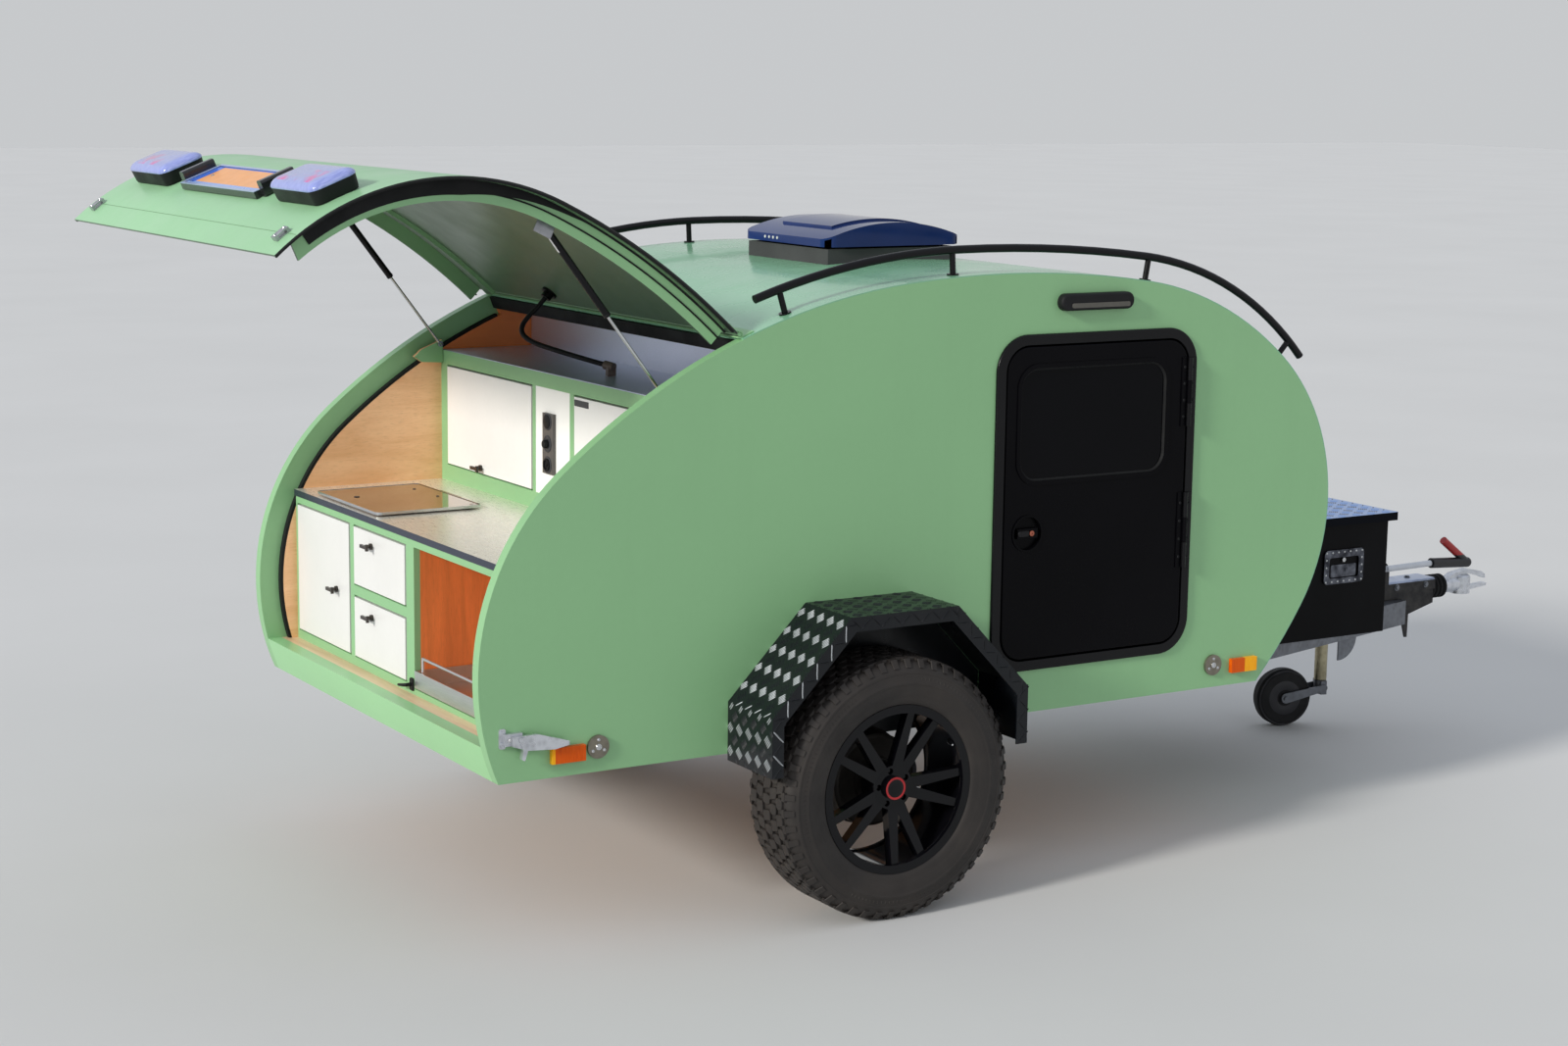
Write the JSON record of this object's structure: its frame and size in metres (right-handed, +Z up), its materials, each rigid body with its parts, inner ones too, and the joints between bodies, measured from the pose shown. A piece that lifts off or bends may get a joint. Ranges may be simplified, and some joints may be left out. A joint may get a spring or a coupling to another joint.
{
  "type": "teardrop trailer",
  "caption": "Compact teardrop camping trailer with an opening galley hatch, two side doors, roof rails, drawbar box and jockey wheel.",
  "frame": {"origin": "Middle of the footprint on the floor, with the hatch open as stored", "axes": "+X forward to the coupling, +Y to the trailer's left, +Z up"},
  "size_m": [4.5998, 1.926, 1.9173],
  "materials": {
    "green_paint": "satin",
    "white_front": "satin",
    "oak": "satin",
    "steel_top": "satin",
    "aluminium_sheet": "satin",
    "rubber_black": "matte",
    "black_paint": "gloss",
    "galvanised": "satin",
    "glass_dark": "gloss",
    "alloy_black": "gloss",
    "tyre_rubber": "matte",
    "amber": "gloss",
    "lamp_plastic": "gloss",
    "grey_plastic": "satin",
    "steel_bright": "gloss"
  },
  "bodies": {
    "trailer": {"chassis_frame": "galvanised", "axle": "galvanised", "floor_panel": "oak", "side_wall_right": "green_paint", "side_wall_left": "green_paint", "wall_linings": "oak", "roof_shell": "green_paint", "rear_valance": "green_paint", "bulkhead": "oak", "worktop": "steel_top", "lower_cabinet": "green_paint", "upper_cabinet": "green_paint", "shelf_liner": "aluminium_sheet", "galley_fittings": "galvanised", "hinge_rail": "green_paint", "hatch_seal": "rubber_black", "roof_rails": "black_paint", "vent_base": "grey_plastic", "fenders": "black_paint", "drawbar_box": "black_paint", "overrun_housing": "galvanised", "bellows": "rubber_black", "coupling_head": "galvanised", "handbrake_lever": "grey_plastic", "jockey_clamp": "galvanised", "door_frames": "black_paint", "porch_lamps": "grey_plastic", "side_markers": "amber", "tie_discs": "steel_bright", "hatch_latches": "galvanised", "conduit": "rubber_black"},
    "hatch": {"hatch_shell": "green_paint", "hatch_fittings": "galvanised", "tail_lamps": "lamp_plastic", "plate_holder": "grey_plastic"},
    "strut_cylinder_right_body": {"strut_cylinder_right": "black_paint"},
    "strut_cylinder_left_body": {"strut_cylinder_left": "black_paint"},
    "strut_rod_right_body": {"strut_rod_right": "steel_bright"},
    "strut_rod_left_body": {"strut_rod_left": "steel_bright"},
    "wheel_right_body": {"wheel_right": "alloy_black", "tyre_right": "tyre_rubber"},
    "wheel_left_body": {"wheel_left": "alloy_black", "tyre_left": "tyre_rubber"},
    "door_right_body": {"door_right": "black_paint", "door_glass_right": "glass_dark"},
    "door_left_body": {"door_left": "black_paint", "door_glass_left": "glass_dark"},
    "vent_lid_body": {"vent_lid": "glass_dark"},
    "box_lid_body": {"box_lid": "aluminium_sheet"},
    "hob_lid_body": {"hob_lid": "glass_dark"},
    "jockey_leg_body": {"jockey_leg": "galvanised"},
    "jockey_fork_body": {"jockey_fork": "galvanised"},
    "jockey_wheel_body": {"jockey_wheel": "rubber_black"},
    "tray": {"pull_out_tray": "aluminium_sheet"},
    "drawer_upper_body": {"drawer_upper": "white_front"},
    "drawer_lower_body": {"drawer_lower": "white_front"},
    "cabinet_door_body": {"cabinet_door": "white_front"},
    "flap_left_body": {"flap_left": "white_front"},
    "flap_right_body": {"flap_right": "white_front"}
  },
  "joints": [
    {"name": "hatch_hinge", "type": "hinge", "parent": "trailer", "child": "hatch", "pos_m": [-1.08878, 0, 1.50139], "axis": [0, 1, 0], "range_deg": [-66.25, 0], "deforming": ["conduit"]},
    {"name": "strut_swing_right", "type": "hinge", "parent": "hatch", "child": "strut_cylinder_right_body", "pos_m": [-1.5941, -0.664, 1.778], "axis": [0, 1, 0], "range_deg": [-23.81, 1]},
    {"name": "strut_stroke_right", "type": "slide", "parent": "strut_cylinder_right_body", "child": "strut_rod_right_body", "axis": [-0.6102, 0, 0.7923], "range_m": [-0.002, 0.1921]},
    {"name": "strut_swing_left", "type": "hinge", "parent": "hatch", "child": "strut_cylinder_left_body", "pos_m": [-1.5941, 0.664, 1.778], "axis": [0, 1, 0], "range_deg": [-23.81, 1]},
    {"name": "strut_stroke_left", "type": "slide", "parent": "strut_cylinder_left_body", "child": "strut_rod_left_body", "axis": [-0.6102, 0, 0.7923], "range_m": [-0.002, 0.1921]},
    {"name": "wheel_right_spin", "type": "hinge", "parent": "trailer", "child": "wheel_right_body", "pos_m": [-0.7291, -0.858, 0.343], "axis": [0, 1, 0], "continuous": true},
    {"name": "wheel_left_spin", "type": "hinge", "parent": "trailer", "child": "wheel_left_body", "pos_m": [-0.7291, 0.858, 0.343], "axis": [0, 1, 0], "continuous": true},
    {"name": "door_right_hinge", "type": "hinge", "parent": "trailer", "child": "door_right_body", "pos_m": [0.3344, -0.76, 1.0125], "axis": [0, 0, 1], "range_deg": [0, 100]},
    {"name": "door_left_hinge", "type": "hinge", "parent": "trailer", "child": "door_left_body", "pos_m": [0.3344, 0.76, 1.0125], "axis": [0, 0, -1], "range_deg": [0, 100]},
    {"name": "vent_lid_hinge", "type": "hinge", "parent": "trailer", "child": "vent_lid_body", "pos_m": [-0.0601, 0, 1.674], "axis": [0, 1, 0], "range_deg": [0, 60]},
    {"name": "box_lid_hinge", "type": "hinge", "parent": "trailer", "child": "box_lid_body", "pos_m": [0.9019, 0, 0.828], "axis": [0, -1, 0], "range_deg": [0, 75]},
    {"name": "hob_lid_hinge", "type": "hinge", "parent": "trailer", "child": "hob_lid_body", "pos_m": [-1.3791, 0.3515, 0.967], "axis": [0, 1, 0], "range_deg": [0, 95]},
    {"name": "cabinet_door_hinge", "type": "hinge", "parent": "trailer", "child": "cabinet_door_body", "pos_m": [-1.7061, 0.677, 0.7375], "axis": [0, 0, -1], "range_deg": [0, 90]},
    {"name": "drawer_upper_slide", "type": "slide", "parent": "trailer", "child": "drawer_upper_body", "axis": [-1, 0, 0], "range_m": [0, 0.32]},
    {"name": "drawer_lower_slide", "type": "slide", "parent": "trailer", "child": "drawer_lower_body", "axis": [-1, 0, 0], "range_m": [0, 0.32]},
    {"name": "tray_slide", "type": "slide", "parent": "trailer", "child": "tray", "axis": [-1, 0, 0], "range_m": [0, 0.35]},
    {"name": "flap_left_hinge", "type": "hinge", "parent": "trailer", "child": "flap_left_body", "pos_m": [-1.2541, 0.374, 1.292], "axis": [0, 1, 0], "range_deg": [0, 100]},
    {"name": "flap_right_hinge", "type": "hinge", "parent": "trailer", "child": "flap_right_body", "pos_m": [-1.2541, -0.406, 1.292], "axis": [0, 1, 0], "range_deg": [0, 100]},
    {"name": "jockey_lift", "type": "slide", "parent": "trailer", "child": "jockey_leg_body", "axis": [0, 0, 1], "range_m": [0, 0.085]},
    {"name": "jockey_swivel", "type": "hinge", "parent": "jockey_leg_body", "child": "jockey_fork_body", "pos_m": [1.7129, 0.15, 0.125], "axis": [0, 0, 1], "continuous": true},
    {"name": "jockey_wheel_spin", "type": "hinge", "parent": "jockey_fork_body", "child": "jockey_wheel_body", "pos_m": [1.57767, 0.18624, 0.097], "axis": [0.2588, 0.9659, 0], "continuous": true}
  ],
  "couplings": [
    {"joint": "strut_swing_right", "follows": "hatch_hinge", "ratio": 0.34434},
    {"joint": "strut_stroke_right", "follows": "hatch_hinge", "m_per_rad": -0.16267},
    {"joint": "strut_swing_left", "follows": "hatch_hinge", "ratio": 0.34434},
    {"joint": "strut_stroke_left", "follows": "hatch_hinge", "m_per_rad": -0.16267}
  ]
}
